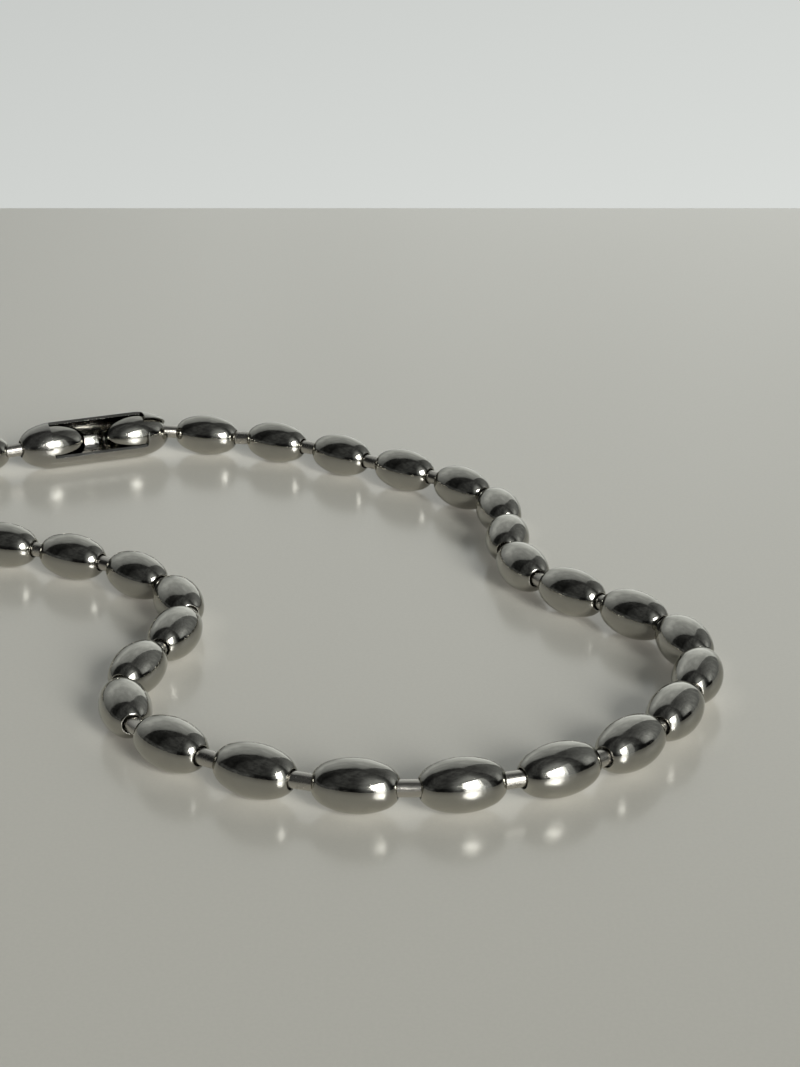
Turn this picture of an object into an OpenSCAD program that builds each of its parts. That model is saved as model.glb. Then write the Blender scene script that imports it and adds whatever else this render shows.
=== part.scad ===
// Steel choker of olive beads on link pins, closed by a trough clasp and laid down in a loose loop.
// The surface that it lies on is z = 0, and the origin is the middle of the loop's box there.

/* [Beads] */
// Number of beads, with the two that sit in the clasp
bead_count = 40; // [39:1:42]
// Length of a bead from end to end
bead_l = 7.6; // [7.4:0.1:8]
// Largest diameter of a bead
bead_d = 5.0; // [4.9:0.1:5.2]
// Wall of a bead
bead_wall = 0.3; // [0.2:0.05:0.3]
// Radius of the long arc round a bead's belly
belly_r = 7.0; // [6.8:0.1:7.4]
// Angle of the belly arc on each side of the middle
belly_turn = 22; // [20:1:23]
// Diameter of the flat rim round a bead's end hole
rim_d = 2.1; // [2.05:0.05:2.3]
// Diameter of a bead's end holes
hole_d = 1.9; // [1.8:0.05:2]

/* [Link pins] */
// Diameter of a pin's rod
rod_d = 1.6; // [1.3:0.05:1.65]
// Diameter of the round heads that stay inside the beads
head_d = 2.2; // [2.1:0.05:2.2]
// Distance between the middles of a pin's two heads
pin_l = 4.8; // [4.7:0.05:5]

/* [Clasp] */
// Distance between the middles of the two beads in the clasp
clasp_pitch = 10.5; // [9.8:0.1:11]
// Gap between a bead in the clasp and the first bead outside it
clasp_gap = 2.1; // [1.9:0.05:2.2]
// Sheet thickness of the clasp
clasp_wall = 0.3; // [0.25:0.05:0.4]
// Room between the clasp and the beads in it
clasp_room = 0.1; // [0.1:0.02:0.14]
// Height of the clasp's side walls above its axis
lip_h = 1.5; // [1:0.1:1.8]
// Length of the hood that is closed round the last bead
long_hood = 3.6; // [3:0.1:4.5]
// Length of the slotted hood that the first bead snaps into
short_hood = 3.0; // [2.4:0.1:3.4]
// Width of the slot that the first bead's pin drops through
slot_w = 2.1; // [1.9:0.05:2.2]
// Radius of the corners of the clasp's window
window_corner = 1.1; // [0.8:0.1:1.4]
// Roll of the clasp about its own axis, its window to the front
clasp_roll = 50; // [20:5:60]
// Tilt of the beads beside the clasp, up to its axis
lead_tilt = 2.5; // [2:0.5:4]

/* [Hidden] */
$fn = 96;
joints = bead_count - 1;

// The loop's line from the clasp's middle, clockwise seen from above: across the back, down the
// right side, along the front and back round the left.
route = [
    [-7.3, 44.8], [2, 48.6], [11.8, 46.9], [20.5, 42.6], [28.3, 37.1], [36, 31.4], [41.9, 24.6],
    [43.9, 16.1], [43.1, 7.1], [46.7, -1.4], [53.2, -7.6], [59, -13.9], [61.4, -21.4],
    [59.1, -29.4], [55.3, -36.6], [49.7, -42.7], [41.5, -46.9], [32.3, -48.6], [22.8, -47.2],
    [14.3, -42.9], [6.7, -36.4], [4.3, -27.4], [7.5, -18.8], [9.9, -10.7], [6.5, -2.6],
    [-0.5, 3.8], [-8.6, 8], [-17.5, 11.1], [-36, 12.1], [-49, 12.6], [-58.5, 19.6], [-61, 31.6],
    [-55.5, 42.1], [-44.5, 46.1], [-33, 43.1], [-25, 39.6], [-16.6, 40.8]
];

// Gap between two beads' ends: pulled out beside the clasp and along the front, closed in the bends
SLACK = [
    // joint, gap
    [2, 2.1], [4, 2.1], [5, 1.8], [6, 1.6], [7, 1.35], [9, 1.3], [10, 0.95], [11, 0.85], [12, 1],
    [13, 0.85], [14, 0.85], [15, 1.1], [16, 1.7], [17, 1.9], [18, 2], [20, 2.05], [21, 1.7],
    [23, 1.3], [25, 1.9], [26, 1.4], [37, 1.6], [38, 2]
];
gaps = [for (j = [1:joints]) j == 1 || j == joints ? clasp_gap : lookup(j, SLACK)];

// Distance along the loop at which each joint's gap begins, from the clasp's middle
clasp_half = clasp_pitch / 2 + bead_l / 2;
gap_starts = [for (j = 0, s = clasp_half; j < joints; s = s + gaps[j] + bead_l, j = j + 1) s];
chain_l = gap_starts[joints - 1] + gaps[joints - 1] + clasp_half;

// Smooth closed curve through the route's points, scaled to the chain's length
steps = 12;
points = len(route);
function blend_at(a, b, c, d, t) =
    (2 * b + (c - a) * t + (2 * a - 5 * b + 4 * c - d) * t ^ 2 + (3 * b - a - 3 * c + d) * t ^ 3) / 2;
function route_point(i) = route[(i + points) % points];
curve = [
    for (i = [0:points - 1], k = [0:steps - 1])
        blend_at(route_point(i - 1), route_point(i), route_point(i + 1), route_point(i + 2), k / steps),
    route[0]
];
last = len(curve) - 1;
runs = [for (i = 0, s = 0; i <= last; s = s + norm(curve[min(i + 1, last)] - curve[i]), i = i + 1) s];
route_scale = chain_l / runs[last];
x_table = [for (i = [0:last]) [runs[i] * route_scale, curve[i].x * route_scale]];
y_table = [for (i = [0:last]) [runs[i] * route_scale, curve[i].y * route_scale]];
function on_route(s) = let (q = (s + chain_l) % chain_l) [lookup(q, x_table), lookup(q, y_table)];

// A bead's place: middle, heading in plan and tilt
clasp_r = bead_d / 2 + clasp_room + clasp_wall;
function heading(v) = atan2(v.y, v.x);
function joint_at(j) = on_route(gap_starts[j - 1] + gaps[j - 1] / 2);
clasp_line = joint_at(1) - joint_at(joints);
clasp_mid = (joint_at(1) + joint_at(joints)) / 2;
clasp_turn = heading(clasp_line);
clasp_dir = [cos(clasp_turn), sin(clasp_turn)];
function rest_z(tilt) = belly_r - (belly_r - bead_d / 2) * cos(tilt);
function in_clasp(side) =
    [[each clasp_mid + side * clasp_dir * clasp_pitch / 2, clasp_r], clasp_turn, 0];
function on_surface(i, tilt) =
    let (tail = joint_at(i - 1), head = joint_at(i),
         share = (gaps[i - 2] + bead_l) / (gaps[i - 2] + 2 * bead_l + gaps[i - 1]))
    [[each tail + (head - tail) * share, rest_z(tilt)], heading(head - tail), tilt];
function bead_place(i) =
    i == 1 ? in_clasp(1) :
    i == bead_count ? in_clasp(-1) :
    on_surface(i, i == 2 ? -lead_tilt : i == bead_count - 1 ? lead_tilt : 0);
function along(place) =
    [cos(place[1]) * cos(place[2]), sin(place[1]) * cos(place[2]), sin(place[2])];

// Middle of the hole in a bead's end, side +1 towards the next bead and -1 towards the last
hole_depth = 0.4;
function hole_mid(i, side) =
    let (place = bead_place(i)) place[0] + side * along(place) * (bead_l - hole_depth) / 2;

// Arcs of the bead's outline, as [radius, height] in its own section
turn_dir = [cos(belly_turn), sin(belly_turn)];
turn_point = [bead_d / 2 - belly_r, 0] + belly_r * turn_dir;
to_rim = [rim_d / 2, bead_l / 2] - turn_point;
end_r = -(to_rim * to_rim) / (2 * to_rim * turn_dir);
end_mid = turn_point - end_r * turn_dir;
meet_step = 0.0001; // the parts of a section meet at a height of whole steps

// Names of the nodes, the beads counted from the clasp's slotted end
function bead_name(i) = str("bead_", i < 10 ? "0" : "", i);

// Half section of an olive on the positive side of its axis, grown all round by grow
module olive_section(grow, half_l) {
    meet = round((belly_r + grow) * turn_dir.y / meet_step) * meet_step;
    intersection() {
        translate([bead_d / 2 - belly_r, 0]) circle(belly_r + grow);
        translate([0, -meet]) square([bead_d, 2 * meet]);
    }
    for (side = [-1, 1]) intersection() {
        translate([end_mid.x, side * end_mid.y]) circle(end_r + grow);
        translate([0, side > 0 ? meet : -half_l]) square([bead_d, half_l - meet]);
    }
}

// Moves a thing that is built along Z to a bead's place
module put(place) {
    translate(place[0]) rotate([0, 90 - place[2], place[1]]) children();
}

// Hollow bead with a hole at each end
module bead(i) {
    color("silver") put(bead_place(i)) rotate_extrude() difference() {
        olive_section(0, bead_l / 2);
        olive_section(-bead_wall, bead_l / 2 + bead_wall);
        translate([0, -bead_l]) square([hole_d / 2, 2 * bead_l]);
    }
}

// One pin: a rod with a round head inside each of the two beads that it joins
module link_pin(j) {
    tail = hole_mid(j, 1);
    head = hole_mid(j + 1, -1);
    run = head - tail;
    put([(tail + head) / 2, heading(run), asin(run.z / norm(run))]) {
        cylinder(h = pin_l, d = rod_d, center = true);
        for (side = [-1, 1]) translate([0, 0, side * pin_l / 2]) sphere(d = head_d);
    }
}

module link_pins() {
    color("gainsboro") for (j = [1:joints]) link_pin(j);
}

// Half section of the clasp: the outline of both its beads and a straight stretch between them
module trough_section(grow) {
    translate([0, -clasp_pitch / 2]) square([bead_d / 2 + grow, clasp_pitch]);
    for (side = [-1, 1]) translate([0, side * clasp_pitch / 2])
        olive_section(grow, bead_l / 2 + grow);
}

// Rounded window in plan, its X along the clasp
module window_plan(from, to) {
    wide = 2 * clasp_r;
    translate([from, window_corner - wide / 2])
        square([to - from, wide - 2 * window_corner]);
    translate([from + window_corner, -wide / 2])
        square([to - from - 2 * window_corner, wide]);
    for (x = [from + window_corner, to - window_corner], y = [-1, 1])
        translate([x, y * (wide / 2 - window_corner)]) circle(window_corner);
}

// Folded trough with a closed hood on the last bead and a slotted hood on the first
module clasp() {
    half_l = clasp_half + clasp_room + clasp_wall;
    color("darkgray")
    translate([each clasp_mid, clasp_r]) rotate([0, 90, clasp_turn]) rotate([0, 0, clasp_roll])
    difference() {
        rotate_extrude() difference() {
            trough_section(clasp_room + clasp_wall);
            trough_section(clasp_room);
        }
        cylinder(h = 3 * half_l, d = slot_w, center = true);
        rotate([0, -90, 0]) {
            translate([0, 0, lip_h]) linear_extrude(clasp_r)
                window_plan(long_hood - half_l, half_l - short_hood);
            translate([0, -slot_w / 2, 0])
                cube([half_l + clasp_wall, slot_w, clasp_r + clasp_wall]);
        }
    }
}

for (i = [1:bead_count]) bead(i);
link_pins();
clasp();
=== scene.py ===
"""Steel choker of long hollow beads on link pins with a folded clasp, lying on a pale table."""

import math

import bmesh
import bpy
import numpy as np
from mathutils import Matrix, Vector
from mathutils.geometry import delaunay_2d_cdt

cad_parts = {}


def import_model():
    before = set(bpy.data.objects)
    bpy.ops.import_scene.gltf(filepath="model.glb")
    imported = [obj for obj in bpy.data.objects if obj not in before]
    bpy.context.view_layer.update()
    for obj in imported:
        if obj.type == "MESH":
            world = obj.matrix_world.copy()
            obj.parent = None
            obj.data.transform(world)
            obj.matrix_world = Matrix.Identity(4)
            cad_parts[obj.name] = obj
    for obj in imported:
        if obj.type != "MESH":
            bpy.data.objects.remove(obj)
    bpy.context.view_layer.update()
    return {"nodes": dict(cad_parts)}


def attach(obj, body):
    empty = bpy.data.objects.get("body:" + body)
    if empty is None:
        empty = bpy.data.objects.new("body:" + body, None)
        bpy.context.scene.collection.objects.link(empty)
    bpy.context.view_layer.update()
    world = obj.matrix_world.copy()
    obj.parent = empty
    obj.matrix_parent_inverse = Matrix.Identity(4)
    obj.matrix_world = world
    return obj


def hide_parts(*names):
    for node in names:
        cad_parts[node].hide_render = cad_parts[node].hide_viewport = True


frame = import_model()
MM = 0.001
UP = np.array([0, 0, 1.0])

# Bead, pin and clasp sizes in millimetres, as in the solid model
BEAD_L, BEAD_R, WALL = 7.6, 2.5, 0.3
BELLY_R, BELLY_TURN = 7.0, math.radians(22)
RIM_R, HOLE_R = 1.05, 0.95
ROD_R, HEAD_R, PIN_L, HOLE_DEPTH = 0.8, 1.1, 4.8, 0.4
CLASP_PITCH, CLASP_ROOM, CLASP_WALL = 10.5, 0.1, 0.3
LIP_H, LONG_HOOD, SHORT_HOOD = 1.5, 3.6, 3.0
SLOT_R, CORNER, CLASP_ROLL = 1.05, 1.1, math.radians(50)

# Sides of the turned pieces and points along their arcs
BEAD_SIDES, BELLY_POINTS, END_POINTS, INNER_POINTS = 80, 19, 15, 7
PIN_SIDES, PIN_HEAD_POINTS, PIN_ROD_POINTS = 40, 14, 6
# Points along each stretch of the clasp's profile and of its sheet's edge
POINTS = {"belly": 60, "tip": 200, "cap": 12, "window end": 12, "corner": 16, "window side": 60,
          "slot end": 8, "slot side": 40, "slotted rim": 40, "closed rim": 60}
# Flat drawing of the sheet, in millimetres: the radius that its turns are drawn at, the step of
# its grid, the least step along its outline and the least distance from the outline to the grid
FLAT_R, GRID, LEAST_STEP, GRID_CLEAR = 3.0, 0.2, 0.02, 0.09
# Finish of the sheet's edges: points to weld, angle of an edge to round and how far it is rounded
WELD, SHARP, ROUNDING = 0.004, math.radians(50), 0.04
# Largest spin of a bead or pin about its axis, largest shift of its marks and shift of the clasp's
FULL_SPIN, MARK_SHIFT, CLASP_SHIFT = 6.28, 50, 20
# Least slope of a face against the sheet's own faces, as a cosine, at which it is left smooth
SMOOTH_COSINE = 0.6

# Camera: place in metres, angle below level in degrees, sensor and lens in millimetres
CAMERA_AT, CAMERA_DOWN = (0.0315, -0.2196, 0.0928), 21.22
SENSOR, LENS, NEAREST = 36, 99.0, 0.01

# Brightness of the room, as pairs of an angle in degrees and a value
BACK_BY_TURN = [(-180, 0.98), (-165, 0.88), (-150, 0.8), (-135, 0.73), (-125, 0.57), (-115, 0.42),
                (-105, 0.25), (0, 0.3), (150, 0.8), (158, 0.94), (168, 1.08), (180, 0.98)]
BACK_BY_RISE = [(0, 0.68), (8, 0.78), (17, 0.78), (25, 0.73), (35, 0.6), (45, 0.5), (55, 0.43),
                (65, 0.33), (72, 0.225), (80, 0.15), (90, 0.11)]
RIGHT_BY_RISE = [(0, 0.18), (15, 0.185), (28, 0.17), (38, 0.145), (45, 0.12), (55, 0.075),
                 (65, 0.035), (90, 0)]
FRONT_BY_TURN = [(-180, 0.03), (-95, 0.02), (-72, 0.014), (-58, 0.05), (-35, 0.056), (-15, 0.046),
                 (0, 0.055), (60, 0.06), (80, 0.04), (180, 0.03)]
SKY_BY_RISE = [(0, 2.1), (7, 2.3), (16, 4.0), (60, 5.0)]
MIDDLE_BY_RISE = [(7, 0), (16, 12.0), (24, 25.0), (60, 27.0)]
CURTAIN_BY_RISE = [(0, 0.9), (8, 1.0), (15, 1.6), (60, 1.6)]
# Soft lights over and beside the window and low behind: bearing, height, width, tallness and value
SOFT_LIGHTS = [(31, 43, 22, 15, 0.41), (8, 22, 9, 16, 0.26), (168, 3, 12, 12, 0.3),
               (-192, 3, 12, 12, 0.3)]
# Low dark things in front: first and last bearing, softness of their sides, top and full height
DARK_THINGS = [(68, 98, 2, 11, 8.5), (67, 79, 2, 23, 18), (-36, 4, 4, 19, 13)]
DARKEST = 0.75

# Table top in metres: its far and near edges and half its width
TABLE_FAR, TABLE_NEAR, TABLE_HALF = 0.1906, -0.7, 0.9
TABLE_TONES = [(0.645, 0.629, 0.57, 1), (0.66, 0.643, 0.582, 1)]
# Painted light on the table near the steel, in place of window light thrown down by it: reach in
# metres, where it comes from, tint and strength
PAINTED_LIGHT_REACH, PAINTED_LIGHT_FROM = 0.0034, (-0.95, 0.2, 0.25)
PAINTED_LIGHT_TINT, PAINTED_LIGHT_STRENGTH = (1.0, 0.95, 0.84, 1), 0.13

# Steels: tone, least and most roughness, depth of the slow waves and of the hairlines
FINISHES = {
    "bead_steel": ((0.45, 0.44, 0.405), 0.01, 0.03, 0.3, 0.12),
    "pin_steel": ((0.52, 0.5, 0.465), 0.22, 0.3, 0.9, 0.2),
    "clasp_steel": ((0.42, 0.41, 0.385), 0.03, 0.07, 0.5, 0.3),
}


def camera():
    data = bpy.data.cameras.new("camera")
    data.sensor_fit = "HORIZONTAL"
    data.sensor_width = SENSOR
    data.lens = LENS
    data.clip_start = NEAREST
    cam = bpy.data.objects.new("camera", data)
    cam.location = CAMERA_AT
    cam.rotation_euler = (math.radians(90 - CAMERA_DOWN), 0, 0)
    bpy.context.scene.collection.objects.link(cam)
    bpy.context.scene.camera = cam


# Small helpers for node trees
class Tree:
    def __init__(self, tree):
        self.t = tree
        self.t.nodes.clear()

    def node(self, kind, **values):
        n = self.t.nodes.new(kind)
        for key, value in values.items():
            setattr(n, key, value)
        return n

    def put(self, socket, value):
        if isinstance(value, bpy.types.NodeSocket):
            self.t.links.new(value, socket)
        elif value is not None:
            socket.default_value = value

    def math(self, op, a, b=None):
        n = self.node("ShaderNodeMath", operation=op)
        for socket, value in zip(n.inputs, (a, b)):
            self.put(socket, value)
        return n.outputs[0]

    def times(self, *values):
        out = values[0]
        for value in values[1:]:
            out = self.math("MULTIPLY", out, value)
        return out

    def plus(self, *values):
        out = values[0]
        for value in values[1:]:
            out = self.math("ADD", out, value)
        return out

    def less(self, a, b):
        return self.math("SUBTRACT", a, b)

    def step(self, x, low, high, to_low=0.0, to_high=1.0, kind="SMOOTHSTEP"):
        n = self.node("ShaderNodeMapRange", interpolation_type=kind)
        for socket, value in zip(n.inputs, (x, low, high, to_low, to_high)):
            self.put(socket, value)
        return n.outputs[0]

    def line(self, x, low, high, to_low, to_high):
        return self.step(x, low, high, to_low, to_high, "LINEAR")

    def between(self, x, low, high, soft):
        return self.times(self.step(x, low - soft, low + soft),
                          self.step(x, high + soft, high - soft))

    def curve(self, x, stops):
        low, high = stops[0][0], stops[-1][0]
        n = self.node("ShaderNodeValToRGB")
        self.put(n.inputs["Fac"], self.line(x, low, high, 0, 1))
        ramp = n.color_ramp
        while len(ramp.elements) < len(stops):
            ramp.elements.new(0.5)
        for element, (place, value) in zip(ramp.elements, stops):
            element.position = (place - low) / (high - low)
            element.color = (value, value, value, 1)
        return n.outputs["Color"]

    def noise(self, vector, scale, detail=2.0, rough=0.5, distort=0.0):
        n = self.node("ShaderNodeTexNoise")
        self.put(n.inputs["Vector"], vector)
        n.inputs["Scale"].default_value = scale
        n.inputs["Detail"].default_value = detail
        n.inputs["Roughness"].default_value = rough
        n.inputs["Distortion"].default_value = distort
        return n.outputs["Fac"]

    def stretched(self, vector, scale, rotation=(0, 0, 0)):
        n = self.node("ShaderNodeMapping")
        self.put(n.inputs["Vector"], vector)
        n.inputs["Rotation"].default_value = rotation
        n.inputs["Scale"].default_value = scale
        return n.outputs[0]

    def bump(self, height, strength, distance, under=None):
        n = self.node("ShaderNodeBump")
        n.inputs["Strength"].default_value = strength
        n.inputs["Distance"].default_value = distance
        self.put(n.inputs["Height"], height)
        self.put(n.inputs["Normal"], under)
        return n.outputs[0]

    def mix(self, fac, a, b):
        n = self.node("ShaderNodeMix", data_type="RGBA")
        self.put(n.inputs[0], fac)
        self.put(n.inputs[6], a)
        self.put(n.inputs[7], b)
        return n.outputs[2]

    def finish(self, shader, kind="ShaderNodeOutputMaterial"):
        self.put(self.node(kind).inputs["Surface"], shader.outputs[0])


# Room light by direction: a window at the front right, a pale wall behind, a dark room in front
class Room(Tree):
    def __init__(self, tree):
        super().__init__(tree)
        self.way = self.node("ShaderNodeTexCoord").outputs["Generated"]
        split = self.node("ShaderNodeSeparateXYZ")
        self.put(split.inputs[0], self.way)
        self.x, self.y, self.z = split.outputs
        # Bearing from the front, more to the right, and height over the horizon, both in degrees
        degrees = 180 / math.pi
        self.turn = self.times(self.math("ARCTAN2", self.x, self.times(self.y, -1)), degrees)
        self.rise = self.times(self.math("ARCSINE", self.z), degrees)

    def blob(self, at, high, wide, tall, value):
        a = self.math("DIVIDE", self.less(self.turn, at), wide)
        b = self.math("DIVIDE", self.less(self.rise, high), tall)
        bell = self.math("EXPONENT", self.times(self.plus(self.times(a, a), self.times(b, b)), -1))
        return self.times(bell, value)

    def back_wall(self):
        """Wall and ceiling behind, with edges that lean a little, dimmer low on the left."""
        leaning = self.plus(self.turn, self.times(self.plus(self.rise, -35), -0.13))
        behind = self.step(self.y, 0.165, 0.215)
        low_left = self.times(self.between(self.turn, -171, 0, 5),
                              self.step(self.rise, 27, 3, 0, 0.5))
        right_side = self.between(self.turn, 60, 149.5, 1)
        return self.times(self.curve(leaning, BACK_BY_TURN), self.curve(self.rise, BACK_BY_RISE),
                          self.less(1, low_left), behind, self.less(1, right_side))

    def right_wall(self):
        """Wall with folds on the right, further back near the ground, and lit in one place."""
        start = self.step(self.rise, 9, 13, 100, 80)
        here = self.times(self.step(self.less(self.turn, start), -4, 5),
                          self.step(self.turn, 156, 146))
        fold = self.noise(self.stretched(self.way, (9.0, 9.0, 0.7)), 2.0, 2.0)
        lit = self.plus(self.curve(self.rise, RIGHT_BY_RISE), self.blob(97, 21, 15, 12, 0.28))
        return self.times(here, self.step(fold, 0.35, 0.65, 0.8, 1.2), lit)

    def front_room(self):
        """Dim room in front, paler high up and low on the left, with low dark things in it."""
        high = self.step(self.rise, 40, 75, 0, 0.025)
        low_left = self.times(self.between(self.turn, -100, -42, 6),
                              self.step(self.rise, 12, 8), 0.05)
        tone = self.plus(self.curve(self.turn, FRONT_BY_TURN), high, low_left)
        uneven = self.step(self.noise(self.way, 8.0, 3.0, 0.6), 0.35, 0.65, 0.65, 1.35)
        dark = self.plus(*[
            self.times(self.between(self.turn, first, last, soft), self.step(self.rise, top, full))
            for first, last, soft, top, full in DARK_THINGS])
        shade = self.times(self.math("MINIMUM", dark, 1), DARKEST)
        return self.times(tone, uneven, self.less(1, shade))

    def side_strip(self):
        """Pale strip of wall on the right of the window."""
        here = self.between(self.turn, 46, 58.5, 1.5)
        return self.times(here, self.step(self.rise, 43, 40), 0.3)

    def window(self):
        """Window with a slanting top, dull near the ground, its right part behind a curtain."""
        left = self.step(self.rise, 6, 13, 19, 14.7)
        top = self.line(self.turn, 11, 46, 28, 40)
        pane = self.times(self.step(self.less(self.turn, left), -0.7, 0.7),
                          self.step(self.turn, 47.2, 45.8),
                          self.step(self.less(top, self.rise), -0.7, 0.7))
        off_middle = self.math("DIVIDE", self.less(self.turn, 28), 9)
        middle = self.math("EXPONENT", self.times(off_middle, off_middle, -1))
        sky = self.plus(self.curve(self.rise, SKY_BY_RISE),
                        self.times(middle, self.curve(self.rise, MIDDLE_BY_RISE)))
        curtain = self.curve(self.rise, CURTAIN_BY_RISE)
        return self.times(pane, self.mix(self.step(self.turn, 41.5, 39), curtain, sky))

    def far_wall(self):
        """Pale wall beyond the table's far edge, seen only below the horizon."""
        pale = self.plus(0.635, self.times(self.x, 0.19),
                         self.times(self.plus(self.z, 0.13), -0.55))
        return self.math("MINIMUM", self.math("MAXIMUM", pale, 0.58), 0.76)


def world():
    scene = bpy.context.scene
    scene.world = bpy.data.worlds.new("room")
    scene.world.use_nodes = True
    t = Room(scene.world.node_tree)
    soft = t.plus(t.back_wall(), t.right_wall(), t.front_room(), t.side_strip(),
                  *[t.blob(*light) for light in SOFT_LIGHTS])
    uneven = t.step(t.noise(t.way, 5.0, 3.0), 0.35, 0.65, 0.9, 1.1)
    light = t.plus(t.times(soft, uneven), t.window())
    over = t.step(t.rise, -3, -0.5)
    strength = t.plus(t.times(light, over), t.times(t.far_wall(), t.less(1, over)))
    tint = t.mix(t.step(strength, 0.8, 3.0), (0.97, 1.0, 0.97, 1), (1.0, 1.0, 0.97, 1))
    shade = t.node("ShaderNodeBackground")
    t.put(shade.inputs["Color"], tint)
    t.put(shade.inputs["Strength"], strength)
    t.finish(shade, "ShaderNodeOutputWorld")


# Satin white table with its far edge rounded over
def table():
    rows = [(TABLE_NEAR, 0.0), (TABLE_FAR - 0.002, 0.0), (TABLE_FAR - 0.0006, -0.0006),
            (TABLE_FAR, -0.002), (TABLE_FAR, -0.03)]
    verts = [(side * TABLE_HALF, y, z) for y, z in rows for side in (-1, 1)]
    faces = [(2 * i, 2 * i + 1, 2 * i + 3, 2 * i + 2) for i in range(len(rows) - 1)]
    mesh = bpy.data.meshes.new("table")
    mesh.from_pydata([Vector(v) for v in verts], [], faces)
    obj = bpy.data.objects.new("table", mesh)
    bpy.context.scene.collection.objects.link(obj)
    mat = bpy.data.materials.new("table")
    mat.use_nodes = True
    t = Tree(mat.node_tree)
    place = t.node("ShaderNodeTexCoord").outputs["Object"]
    speck = t.noise(place, 2600, 2.0, 0.6)
    shader = t.node("ShaderNodeBsdfPrincipled")
    t.put(shader.inputs["Base Color"], t.mix(t.step(speck, 0.3, 0.7), *TABLE_TONES))
    t.put(shader.inputs["Roughness"], t.step(speck, 0.2, 0.8, 0.18, 0.2))
    shader.inputs["IOR"].default_value = 1.5
    t.put(shader.inputs["Normal"], t.bump(t.noise(place, 500, 2.0, 0.5), 0.04, 0.0001))
    # Painted light: the table glows where steel stands close above and beside a point, in place of
    # the window light the steel throws down on it
    near = t.node("ShaderNodeAmbientOcclusion", samples=2)
    near.inputs["Distance"].default_value = PAINTED_LIGHT_REACH
    near.inputs["Normal"].default_value = Vector(PAINTED_LIGHT_FROM).normalized()
    t.put(shader.inputs["Emission Color"], PAINTED_LIGHT_TINT)
    t.put(shader.inputs["Emission Strength"],
          t.line(near.outputs["AO"], 1, 0, 0, PAINTED_LIGHT_STRENGTH))
    t.finish(shader)
    obj.data.materials.append(mat)


# Polished steel, its marks laid out along and round each piece by its own stored coordinates
def steel(name, tone, rough_low, rough_high, wave, scratch):
    mat = bpy.data.materials.new(name)
    mat.use_nodes = True
    t = Tree(mat.node_tree)
    own = t.node("ShaderNodeAttribute", attribute_name="own").outputs["Vector"]
    shader = t.node("ShaderNodeBsdfPrincipled")
    smudge = t.noise(own, 0.35, 4.0, 0.6, 0.4)
    fine = t.noise(own, 3.0, 3.0, 0.6)
    t.put(shader.inputs["Base Color"],
          t.mix(t.step(smudge, 0.4, 0.65), (*tone, 1), (*[c * 0.95 for c in tone], 1)))
    shader.inputs["Metallic"].default_value = 1.0
    shader.inputs["Specular Tint"].default_value = (0.9, 0.9, 0.88, 1)
    mixed = t.plus(t.times(smudge, 0.75), t.times(fine, 0.25))
    t.put(shader.inputs["Roughness"], t.step(mixed, 0.38, 0.66, rough_low, rough_high))
    # Slow waves of the pressed sheet, then hairlines along and across it
    swell = t.bump(t.noise(own, 0.55, 1.0, 0.4), wave, 0.0001)
    lines = t.noise(t.stretched(own, (1.0, 14.0, 14.0)), 1.6, 2.0, 0.7)
    cross = t.noise(t.stretched(own, (22.0, 1.2, 8.0), (0.5, 0.9, 0.4)), 1.3, 2.0, 0.7)
    marks = t.plus(t.step(lines, 0.55, 0.75), t.step(cross, 0.6, 0.78))
    t.put(shader.inputs["Normal"], t.bump(marks, scratch, 0.00001, swell))
    t.finish(shader)
    return mat


def add_piece(name, verts, faces, own, mat, flat=()):
    """Object from points in millimetres, smooth but for its flat faces, with its own coordinates."""
    mesh = bpy.data.meshes.new(name)
    mesh.from_pydata([tuple(v * MM) for v in verts], [], faces)
    data = mesh.attributes.new("own", "FLOAT_VECTOR", "POINT")
    data.data.foreach_set("vector", np.asarray(own, np.float32).ravel())
    mesh.materials.append(mat)
    smooth = np.ones(len(mesh.polygons), bool)
    smooth[list(flat)] = False
    mesh.polygons.foreach_set("use_smooth", smooth)
    mesh.update()
    obj = bpy.data.objects.new(name, mesh)
    bpy.context.scene.collection.objects.link(obj)
    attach(obj, "root")
    return obj


def lathe(outline, sides, closed=True):
    """Rings round an axis from an outline of (distance along, radius)."""
    n = len(outline)
    turn = np.linspace(0, 2 * math.pi, sides, endpoint=False)
    verts = [np.array([s, r * math.cos(a), r * math.sin(a)]) for s, r in outline for a in turn]
    faces = []
    for i in range(n if closed else n - 1):
        for k in range(sides):
            j, l = (i + 1) % n, (k + 1) % sides
            faces.append((i * sides + k, i * sides + l, j * sides + l, j * sides + k))
    return np.array(verts), faces


def arc(mid, radius, start, end, count):
    return [(mid[0] + radius * math.sin(a), mid[1] + radius * math.cos(a))
            for a in np.linspace(start, end, count)]


def unit(v):
    return v / np.linalg.norm(v)


def turned(verts, mid, axis, spin):
    """Points of a piece along X, spun about it and laid along an axis through a middle."""
    side = unit(np.cross(UP, axis))
    third = np.cross(axis, side)
    c, s = math.cos(spin), math.sin(spin)
    a, b = c * side + s * third, -s * side + c * third
    return mid + np.outer(verts[:, 0], axis) + np.outer(verts[:, 1], a) + np.outer(verts[:, 2], b)


# The bead's outline is a long belly arc and two end arcs that meet it smoothly
turn_dir = np.array([math.sin(BELLY_TURN), math.cos(BELLY_TURN)])
turn_point = np.array([0, BEAD_R - BELLY_R]) + BELLY_R * turn_dir
to_rim = np.array([BEAD_L / 2, RIM_R]) - turn_point
END_R = -(to_rim @ to_rim) / (2 * to_rim @ turn_dir)
END_MID = turn_point - END_R * turn_dir
RIM_TURN = math.atan2(BEAD_L / 2 - END_MID[0], RIM_R - END_MID[1])


def olive(grow, ends, belly_count, end_count):
    belly = arc((0, BEAD_R - BELLY_R), BELLY_R + grow, -BELLY_TURN, BELLY_TURN, belly_count)
    tip = arc(END_MID, END_R + grow, BELLY_TURN, ends, end_count)[1:]
    return [(-s, r) for s, r in reversed(tip)] + belly + tip


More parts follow.
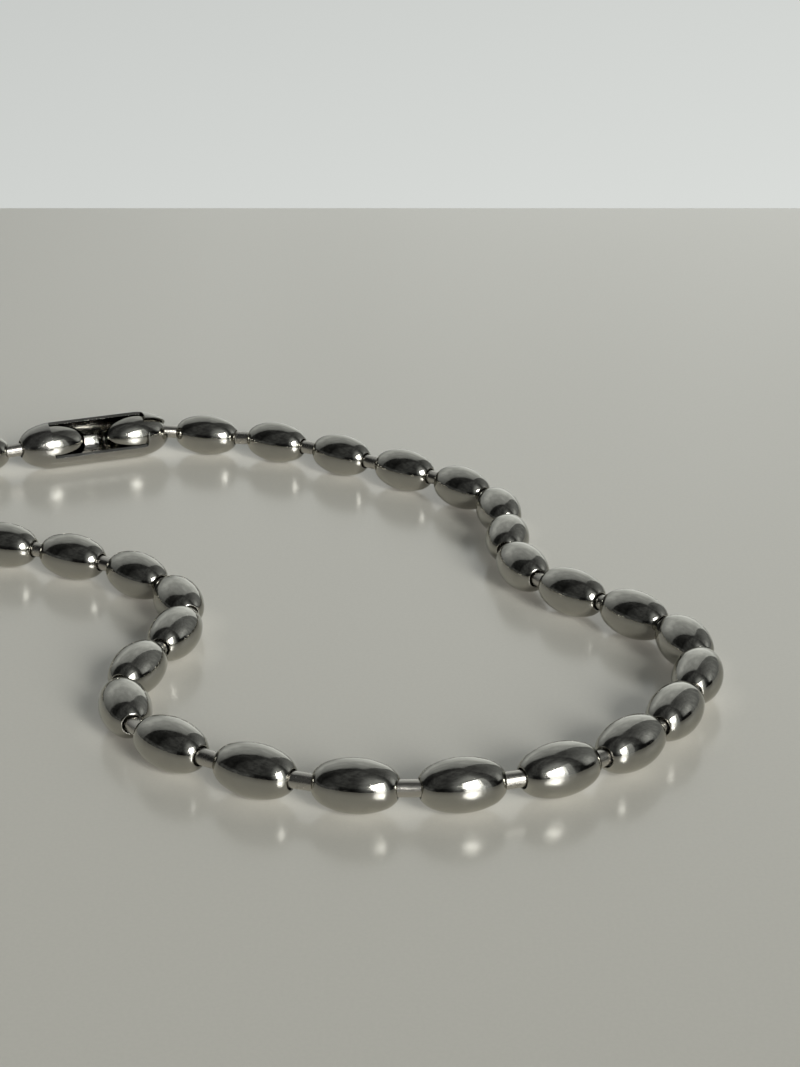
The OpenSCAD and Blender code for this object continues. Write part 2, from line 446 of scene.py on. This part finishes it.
def bead_outline():
    """Closed outline of the bead's wall, its end holes with slightly rounded lips."""
    outer = olive(0, RIM_TURN - 0.02, BELLY_POINTS, END_POINTS)
    inner_turn = math.acos((HOLE_R - END_MID[1]) / (END_R - WALL))
    inner = olive(-WALL, inner_turn, INNER_POINTS, INNER_POINTS)
    end = BEAD_L / 2
    lip = [(end, RIM_R - 0.03), (end - 0.005, HOLE_R + 0.02), (end - 0.03, HOLE_R)]
    right = outer + lip + [(s, r) for s, r in reversed(inner)]
    return right + [(-s, r) for s, r in reversed(lip)]


def place_of(node):
    """Middle and axis of a bead, in millimetres, from the rims of its solid."""
    co = np.array([v.co for v in frame["nodes"][node].data.vertices]) / MM
    co = np.unique(co.round(4), axis=0)
    mid = (co.min(0) + co.max(0)) / 2
    # The rims of the end holes are the farthest points from the middle
    far = co[np.linalg.norm(co - mid, axis=1) > BEAD_L / 2 + 0.08]
    axis = far[np.argmax(np.linalg.norm(far - mid, axis=1))] - mid
    for _ in range(3):
        one, two = far[(far - mid) @ axis > 0], far[(far - mid) @ axis < 0]
        ends = [(e.min(0) + e.max(0)) / 2 for e in (one, two)]
        mid, axis = (ends[0] + ends[1]) / 2, ends[0] - ends[1]
    return mid, unit(axis)


def bead_places(names):
    """Middle and axis of each bead, with each axis towards the next bead."""
    places = [place_of(n) for n in names]
    out = []
    for (mid, axis), (after, _) in zip(places, places[1:] + places[:1]):
        out.append((mid, axis if axis @ (after - mid) > 0 else -axis))
    return out


def add_beads(names, places, mat, rng):
    ring_verts, ring_faces = lathe(bead_outline(), BEAD_SIDES)
    for n, (mid, axis) in zip(names, places):
        own = ring_verts + rng.uniform(-MARK_SHIFT, MARK_SHIFT, 3)
        verts = turned(ring_verts, mid, axis, rng.uniform(0, FULL_SPIN))
        obj = add_piece(n + "_shell", verts, ring_faces, own, mat)
        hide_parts(n)


# Pins: a rod with a round head inside each of its two beads, all in one piece
def pin_outline():
    join = math.sqrt(HEAD_R ** 2 - ROD_R ** 2)
    start = math.atan2(-join, ROD_R)
    head = arc((PIN_L / 2, 0), HEAD_R, start, math.pi / 2 - 0.02, PIN_HEAD_POINTS)
    rod = [(s, ROD_R) for s in np.linspace(0, PIN_L / 2 - join - 0.05, PIN_ROD_POINTS)]
    right = rod + head
    return [(-s, r) for s, r in reversed(right[1:])] + right


def pin_mesh():
    """Lathed pin, each end closed by a fan round its tip."""
    verts, faces = lathe(pin_outline(), PIN_SIDES, closed=False)
    tips = len(verts)
    last_ring = tips - PIN_SIDES
    end = PIN_L / 2 + HEAD_R
    verts = np.vstack([verts, [[-end, 0, 0], [end, 0, 0]]])
    for k in range(PIN_SIDES):
        after = (k + 1) % PIN_SIDES
        faces += [(after, k, tips), (last_ring + k, last_ring + after, tips + 1)]
    return verts, faces


def add_pins(places, mat, rng):
    pin_verts, pin_faces = pin_mesh()
    hole_at = (BEAD_L - HOLE_DEPTH) / 2
    verts, faces, own = [], [], []
    for i, ((mid, axis), (next_mid, next_axis)) in enumerate(zip(places, places[1:])):
        tail = mid + axis * hole_at
        head = next_mid - next_axis * hole_at
        start = len(pin_verts) * i
        spin = rng.uniform(0, FULL_SPIN)
        verts.append(turned(pin_verts, (tail + head) / 2, unit(head - tail), spin))
        own.append(pin_verts + rng.uniform(-MARK_SHIFT, MARK_SHIFT, 3))
        faces += [tuple(start + k for k in f) for f in pin_faces]
    pins = add_piece("link_rods", np.vstack(verts), faces, np.vstack(own), mat)
    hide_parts("link_pins")


# Clasp: one folded sheet, drawn flat as distance along its profile by turn round its axis
CLASP_GROW = CLASP_ROOM + CLASP_WALL
CLASP_END = CLASP_PITCH / 2 + BEAD_L / 2 + CLASP_GROW
WINDOW_END = CLASP_END - SHORT_HOOD


def clasp_profile():
    """Outer profile from the closed end's hole to the slotted end's, and its length so far."""
    half = CLASP_PITCH / 2
    belly = arc((half, BEAD_R - BELLY_R), BELLY_R + CLASP_GROW, 0, BELLY_TURN, POINTS["belly"])
    tip = arc(END_MID + [half, 0], END_R + CLASP_GROW, BELLY_TURN, math.pi / 2, POINTS["tip"])
    tip = [(s, r) for s, r in tip if s < CLASP_END][1:]
    cap = [(CLASP_END, r) for r in np.linspace(tip[-1][1], SLOT_R, POINTS["cap"])]
    right = [(0, BEAD_R + CLASP_GROW)] + belly + tip + cap
    profile = np.array([(-s, r) for s, r in reversed(right[1:])] + right)
    steps = np.linalg.norm(np.diff(profile, axis=0), axis=1)
    return profile, np.r_[0, np.cumsum(steps)]


PROFILE, LENGTH_SO_FAR = clasp_profile()
TOTAL = LENGTH_SO_FAR[-1]


def profile_at(u):
    return np.interp(u, LENGTH_SO_FAR, PROFILE[:, 0]), np.interp(u, LENGTH_SO_FAR, PROFILE[:, 1])


def clasp_edge():
    """Edge of the sheet on one side, from the closed end to the slotted end, as (u, turn)."""
    start, stop = LONG_HOOD - CLASP_END, WINDOW_END
    wide = BEAD_R + CLASP_GROW

    def spot(s, y):
        u = float(np.interp(s, PROFILE[:, 0], LENGTH_SO_FAR))
        r = profile_at(u)[1]
        lip = math.pi / 2 + math.asin(LIP_H / r)
        return u, max(math.pi - math.asin(min(1, y / r)), lip)

    def corner(a):
        return CORNER * (1 - math.cos(a)), wide - CORNER + CORNER * math.sin(a)

    edge = [spot(start, y) for y in np.linspace(0.0, wide - CORNER, POINTS["window end"])]
    corners = [corner(a) for a in np.linspace(0, math.pi / 2, POINTS["corner"])]
    edge += [spot(start + s, y) for s, y in corners[1:]]
    sides = np.linspace(start + CORNER, stop - CORNER, POINTS["window side"])
    edge += [spot(s, wide) for s in sides[1:]]
    edge += [spot(stop - s, y) for s, y in reversed(corners[:-1])]
    edge += [spot(stop, y) for y in np.linspace(wide - CORNER, SLOT_R, POINTS["slot end"])[1:]]
    for u in np.linspace(edge[-1][0], TOTAL, POINTS["slot side"])[1:]:
        r = profile_at(u)[1]
        edge.append((u, math.pi - math.asin(min(1, SLOT_R / r))))
    return edge


def sheet_rim(edge):
    """Outline of the flat sheet, without points that nearly meet."""
    top = [(u, math.pi) for u in np.linspace(0, edge[0][0], int(edge[0][0] / GRID))[:-1]] + edge
    end_turns = np.linspace(edge[-1][1], -edge[-1][1], POINTS["slotted rim"])[1:-1]
    rim = top + [(TOTAL, a) for a in end_turns] + [(u, -a) for u, a in reversed(top)]
    rim += [(0.0, a) for a in np.linspace(-math.pi, math.pi, POINTS["closed rim"])[1:-1]]
    rim = [(u, a * FLAT_R) for u, a in rim]
    kept = [rim[0]]
    for p in rim[1:]:
        if math.dist(p, kept[-1]) > LEAST_STEP:
            kept.append(p)
    return kept


def grid_inside(path):
    """Points of an even grid that lie inside an outline and clear of it."""
    us = np.arange(GRID / 2, TOTAL, GRID)
    vs = np.arange(GRID / 2 - math.pi * FLAT_R, math.pi * FLAT_R, GRID)
    pts = np.array([(u, v) for u in us for v in vs])
    inside = np.zeros(len(pts), bool)
    near = np.full(len(pts), np.inf)
    for p, q in zip(path, np.roll(path, -1, 0)):
        d = q - p
        cross = (p[1] > pts[:, 1]) != (q[1] > pts[:, 1])
        if abs(d[1]) > 1e-12:
            inside ^= cross & (pts[:, 0] < d[0] * (pts[:, 1] - p[1]) / d[1] + p[0])
        f = np.clip(((pts - p) @ d) / (d @ d), 0, 1)
        near = np.minimum(near, np.linalg.norm(pts - p - f[:, None] * d, axis=1))
    return pts[inside & (near > GRID_CLEAR)]


def flat_sheet(edge):
    """Points of the flat sheet as (u, turn) and its triangles."""
    rim = sheet_rim(edge)
    flat = [Vector(p) for p in rim] + [Vector(p) for p in grid_inside(np.array(rim))]
    out = delaunay_2d_cdt(flat, [], [list(range(len(rim)))], 1, 1e-6)
    return np.array([[p[0], p[1] / FLAT_R] for p in out[0]]), out[2]


TOP_TURN = math.pi - 1e-4


def folded_faces(co, edge):
    """Places of the flat sheet's points on its outer face and on its inner face."""
    s, r = profile_at(co[:, 0])
    s2, r2 = profile_at(np.clip(co[:, 0] + 0.05, 0, TOTAL))
    s1, r1 = profile_at(np.clip(co[:, 0] - 0.05, 0, TOTAL))
    tang = np.c_[s2 - s1, r2 - r1]
    tang /= np.linalg.norm(tang, axis=1)[:, None]
    turn, side = np.abs(co[:, 1]), np.sign(co[:, 1])

    # The window is cut straight down and its lips level, so both faces end at the same place
    on_edge = np.array(edge)
    off = np.abs(co[:, None, 0] - on_edge[:, 0]) + np.abs(turn[:, None] - on_edge[:, 1])
    cut = (off.min(1) < 1e-5) & (turn < TOP_TURN)
    level = cut & (-r * np.cos(turn) < LIP_H + 1e-6) & (s < WINDOW_END + 1e-6)

    def lay(depth):
        along = s + depth * tang[:, 1]
        rad = r - depth * tang[:, 0]
        plan = math.pi - np.arcsin(np.clip(r * np.sin(turn) / rad, 0, 1))
        lip = math.pi / 2 + np.arcsin(np.clip(LIP_H / rad, 0, 1))
        at = np.where(level, lip, np.where(cut, plan, turn)) * side
        return np.c_[along, rad * np.sin(at), -rad * np.cos(at)]
    return lay(0), lay(CLASP_WALL)


def faces_across(bm):
    """Numbers of the faces that are cut across the sheet, which are shaded flat."""
    ways = np.gradient(PROFILE, axis=0)
    ways /= np.linalg.norm(ways, axis=1)[:, None]
    across = []
    for k, f in enumerate(bm.faces):
        x, y, z = f.calc_center_median()
        rad = math.hypot(y, z)
        along, out = ways[np.argmin((PROFILE[:, 0] - x) ** 2 + (PROFILE[:, 1] - rad) ** 2)]
        if abs(f.normal @ Vector((-out, along * y / rad, along * z / rad))) < SMOOTH_COSINE:
            across.append(k)
    return across


def clasp_mesh():
    """Closed sheet of the clasp along X, with its edges slightly rounded, and its flat faces."""
    edge = clasp_edge()
    co, tris = flat_sheet(edge)
    bm = bmesh.new()
    outer, inner = [[bm.verts.new(p) for p in face] for face in folded_faces(co, edge)]
    edges = set()
    for f in tris:
        bm.faces.new([outer[k] for k in f])
        bm.faces.new([inner[k] for k in reversed(f)])
        edges.update((f[k], f[(k + 1) % len(f)]) for k in range(len(f)))
    # Side faces all along the rim, but not where the sheet meets itself on top
    for p, q in sorted(edges):
        seam = abs(co[p, 1]) > TOP_TURN and abs(co[q, 1]) > TOP_TURN
        if (q, p) not in edges and not seam:
            bm.faces.new([outer[q], outer[p], inner[p], inner[q]])
    bmesh.ops.remove_doubles(bm, verts=bm.verts[:], dist=WELD)
    bmesh.ops.recalc_face_normals(bm, faces=bm.faces[:])
    sharp = [e for e in bm.edges if len(e.link_faces) == 2 and e.calc_face_angle() > SHARP]
    bmesh.ops.bevel(bm, geom=sharp, offset=ROUNDING, segments=2, profile=0.6, affect="EDGES",
                    clamp_overlap=True)
    bmesh.ops.triangulate(bm, faces=bm.faces[:])
    verts = np.array([v.co for v in bm.verts])
    index = {v: i for i, v in enumerate(bm.verts)}
    faces = [tuple(index[v] for v in f.verts) for f in bm.faces]
    flat = faces_across(bm)
    bm.free()
    return verts, faces, flat


def add_clasp(places, mat):
    verts, faces, flat = clasp_mesh()
    first, last = places[0][0], places[-1][0]
    axis = unit(first - last)
    side = unit(np.cross(UP, axis))
    c, s = math.cos(CLASP_ROLL), math.sin(CLASP_ROLL)
    frame_of_sheet = np.array([axis, side * c + UP * s, UP * c - side * s])
    laid = (first + last) / 2 + verts @ frame_of_sheet
    clasp = add_piece("clasp_sheet", laid, faces, verts + CLASP_SHIFT, mat, flat)
    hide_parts("clasp")


camera()
world()
table()
steels = {name: steel(name, *finish) for name, finish in FINISHES.items()}
rng = np.random.default_rng(7)
bead_names = sorted(n for n in frame["nodes"] if n.startswith("bead_"))
places = bead_places(bead_names)
add_beads(bead_names, places, steels["bead_steel"], rng)
add_pins(places, steels["pin_steel"], rng)
add_clasp(places, steels["clasp_steel"])

scene = bpy.context.scene
scene.view_settings.view_transform = "Standard"
scene.view_settings.look = "None"
